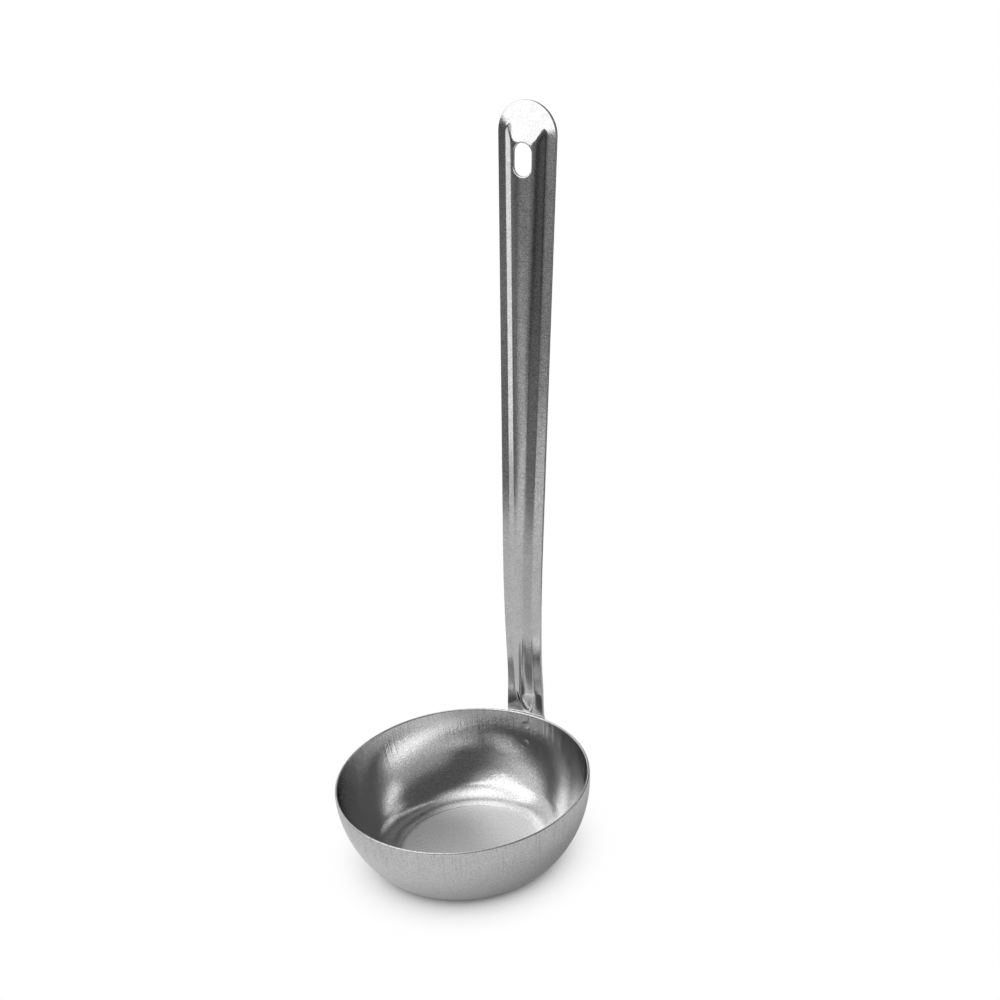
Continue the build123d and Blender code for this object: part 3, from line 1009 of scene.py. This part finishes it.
def room_brightness(tree):
    """Brightness of the room in each direction (x, y, z), of length 1: the largest of nine patches.

    Each patch is a product of smooth steps. Overhead is the big light above, which ends to the right
    along a slanting edge and is brightest straight up. The left wall grows brighter to the left, above
    its foot. Low left is a bright patch beside the bowl. Back left and back right are two pale patches
    behind. The right wall is dim and low, with a bright level strip across it towards the back. The
    front is a dim spot plus a dim wall that darkens to the right. It is darker above the horizon at the
    left, low down, and along a narrow upright gap. The ground is faint."""
    add, link = node_tools(tree)
    calc, chain, step = math_tools(tree)
    unit = add("ShaderNodeVectorMath", operation="NORMALIZE")
    link(object_place(tree), unit.inputs[0])
    x, y, z = split_xyz(tree, unit.outputs[0])

    slanting_side = calc("ADD", x, calc("MULTIPLY", calc("MAXIMUM", y, 0.0), OVERHEAD_SIDE_SLANT))
    tilted_height = calc("SUBTRACT", z, calc("MULTIPLY", y, OVERHEAD_TILT))
    overhead = chain(
        "MULTIPLY",
        step(slanting_side, OVERHEAD_SIDE_FADE, OVERHEAD_SIDE_LEVELS),
        step(tilted_height, OVERHEAD_EDGE_FADE),
        step(z, ZENITH_FADE, ZENITH_LEVELS),
    )
    leftward = calc("SUBTRACT", calc("MULTIPLY", x, -1.0), calc("MULTIPLY", y, LEFT_WALL_SLANT))
    left_wall = calc(
        "MULTIPLY",
        step(leftward, LEFT_WALL_FADE, LEFT_WALL_LEVELS),
        step(z, LEFT_WALL_FOOT_FADE),
    )
    low_left = chain(
        "MULTIPLY",
        step(y, LOW_LEFT_BACK_FADE),
        step(x, LOW_LEFT_SIDE_FADE),
        step(z, LOW_LEFT_TOP_FADE, (0.0, LOW_LEFT_LEVEL)),
    )
    back_left = calc(
        "MULTIPLY",
        step(x, BACK_LEFT_SIDE_FADE),
        step(y, BACK_LEFT_BACK_FADE, (0.0, BACK_LEFT_LEVEL)),
    )
    back_right = chain(
        "MULTIPLY",
        step(x, BACK_RIGHT_SIDE_FADE),
        step(y, BACK_RIGHT_BACK_FADE, (0.0, BACK_RIGHT_LEVEL)),
        step(z, BACK_RIGHT_FOOT_FADE),
        step(z, BACK_RIGHT_TOP_FADE),
    )
    right_wall = calc(
        "MULTIPLY",
        step(x, RIGHT_WALL_SIDE_FADE, (0.0, RIGHT_WALL_LEVEL)),
        step(z, RIGHT_WALL_TOP_FADE),
    )
    strip_reach = calc("ABSOLUTE", calc("SUBTRACT", z, STRIP_HEIGHT))
    strip = chain(
        "MULTIPLY",
        step(strip_reach, STRIP_REACH_FADE, (0.0, STRIP_LEVEL)),
        step(y, STRIP_BACK_FADE),
        step(x, STRIP_SIDE_FADE),
    )
    to_spot = calc("ADD", calc("MULTIPLY", x, FRONT_SPOT_X), calc("MULTIPLY", y, FRONT_SPOT_Y))
    gap_reach = calc("ABSOLUTE", calc("SUBTRACT", x, calc("MULTIPLY", y, FRONT_GAP_SLANT)))
    front = chain(
        "MULTIPLY",
        calc(
            "ADD",
            step(to_spot, FRONT_SPOT_FADE, (0.0, FRONT_SPOT_LEVEL)),
            step(x, FRONT_SIDE_FADE, FRONT_SIDE_LEVELS),
        ),
        calc("MAXIMUM", step(z, FRONT_DIM_HEIGHT_FADE, FRONT_DIM_LEVELS), step(x, FRONT_DIM_SIDE_FADE)),
        step(z, FRONT_FOOT_FADE, FRONT_FOOT_LEVELS),
        calc(
            "MAXIMUM",
            step(gap_reach, FRONT_GAP_REACH_FADE, FRONT_GAP_LEVELS),
            step(z, FRONT_GAP_FOOT_FADE),
        ),
    )
    ground = step(z, GROUND_FADE, (0.0, GROUND_LEVEL))
    return chain(
        "MAXIMUM",
        overhead, left_wall, low_left, back_left, back_right, right_wall, strip, front, ground,
    )


def make_room():
    """Studio round the ladle, as a sphere that glows with the room's brightness in each direction:
    x = R sin a cos b, y = R sin a sin b, z = R cos a."""
    fall = np.linspace(0, math.pi, ROOM_RINGS + 1)[1:-1, None]
    turn = np.arange(ROOM_TURNS)[None] / ROOM_TURNS * 2 * math.pi
    grid = np.stack([np.sin(fall) * np.cos(turn), np.sin(fall) * np.sin(turn), np.cos(fall) + 0 * turn], -1)
    poles = np.array([(0, 0, 1.0), (0, 0, -1.0)])
    points = np.concatenate([grid.reshape(-1, 3), poles]) * ROOM_RADIUS
    rings = ROOM_RINGS - 1
    index = np.arange(rings * ROOM_TURNS).reshape(rings, ROOM_TURNS)
    after = np.roll(index, -1, 1)
    walls = np.stack([index[:-1], after[:-1], after[1:], index[1:]], -1).reshape(-1, 4)
    top = np.stack([index[0], 0 * index[0] + len(points) - 2, after[0]], -1)
    bottom = np.stack([index[-1], after[-1], 0 * index[-1] + len(points) - 1], -1)
    faces = walls.tolist() + top.tolist() + bottom.tolist()
    room = new_mesh_object("studio_room", points, faces)
    material, glow = light_material("studio_light")
    tree = material.node_tree
    tree.links.new(room_brightness(tree), glow.inputs["Strength"])
    room.data.materials.append(material)
    hide_from_camera(room)


CARD_RADIUS = 0.36
CARD_BOTTOM = 0.263
CARD_TOP = 0.64
CARD_LOW_LEFT_TURN = math.radians(-62)
CARD_HIGH_LEFT_TURN = math.radians(-125)
CARD_LOW_RIGHT_TURN = math.radians(-12)
CARD_HIGH_RIGHT_TURN = math.radians(30)
CARD_GLOW = 1.3
CARD_HEIGHT_POINTS = 9
CARD_TURN_POINTS = 25


def make_light_card():
    """Lower edge of the overhead light, near the ladle at its front left: a curved card,
    x = R sin t, y = -R cos t, between two heights, whose side edges slant outwards on their way up."""
    rise = np.linspace(0, 1, CARD_HEIGHT_POINTS)
    height = CARD_BOTTOM + (CARD_TOP - CARD_BOTTOM) * rise
    left_turn = CARD_LOW_LEFT_TURN + (CARD_HIGH_LEFT_TURN - CARD_LOW_LEFT_TURN) * rise
    right_turn = CARD_LOW_RIGHT_TURN + (CARD_HIGH_RIGHT_TURN - CARD_LOW_RIGHT_TURN) * rise
    share = np.linspace(0, 1, CARD_TURN_POINTS)[:, None]
    turns = left_turn + (right_turn - left_turn) * share
    heights = height + 0 * share
    grid = np.stack([CARD_RADIUS * np.sin(turns), -CARD_RADIUS * np.cos(turns), heights], -1)
    card = new_mesh_object("light_card", grid.reshape(-1, 3), grid_faces(*heights.shape))
    material, glow = light_material("card_light")
    glow.inputs["Strength"].default_value = CARD_GLOW
    card.data.materials.append(material)
    hide_from_camera(card)


def make_world():
    """Plain white backdrop, seen by the camera and by glossy and transmission rays."""
    world = bpy.data.worlds.new("backdrop")
    bpy.context.scene.world = world
    world.use_nodes = True
    tree = world.node_tree
    tree.nodes.clear()
    add, link = node_tools(tree)
    _, chain, _ = math_tools(tree)
    rays = add("ShaderNodeLightPath").outputs
    seen = chain("MAXIMUM", rays["Is Camera Ray"], rays["Is Glossy Ray"], rays["Is Transmission Ray"])
    back = add("ShaderNodeBackground")
    back.inputs["Color"].default_value = (1, 1, 1, 1)
    link(seen, back.inputs["Strength"])
    out = add("ShaderNodeOutputWorld")
    link(back.outputs[0], out.inputs["Surface"])


def place_piece(obj, node, material):
    """Gives a piece its finish and puts it in the place of its solid, on the only body."""
    obj.data.materials.append(material)
    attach(obj, "root")
    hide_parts(node)


make_camera()
make_paper()
make_room()
make_light_card()
make_world()
place_piece(make_bowl(), "bowl", bowl_steel())
place_piece(make_handle(), "handle", handle_steel())
place_piece(make_welds(), "spot_welds", weld_steel())

bpy.context.scene.view_settings.view_transform = "Standard"
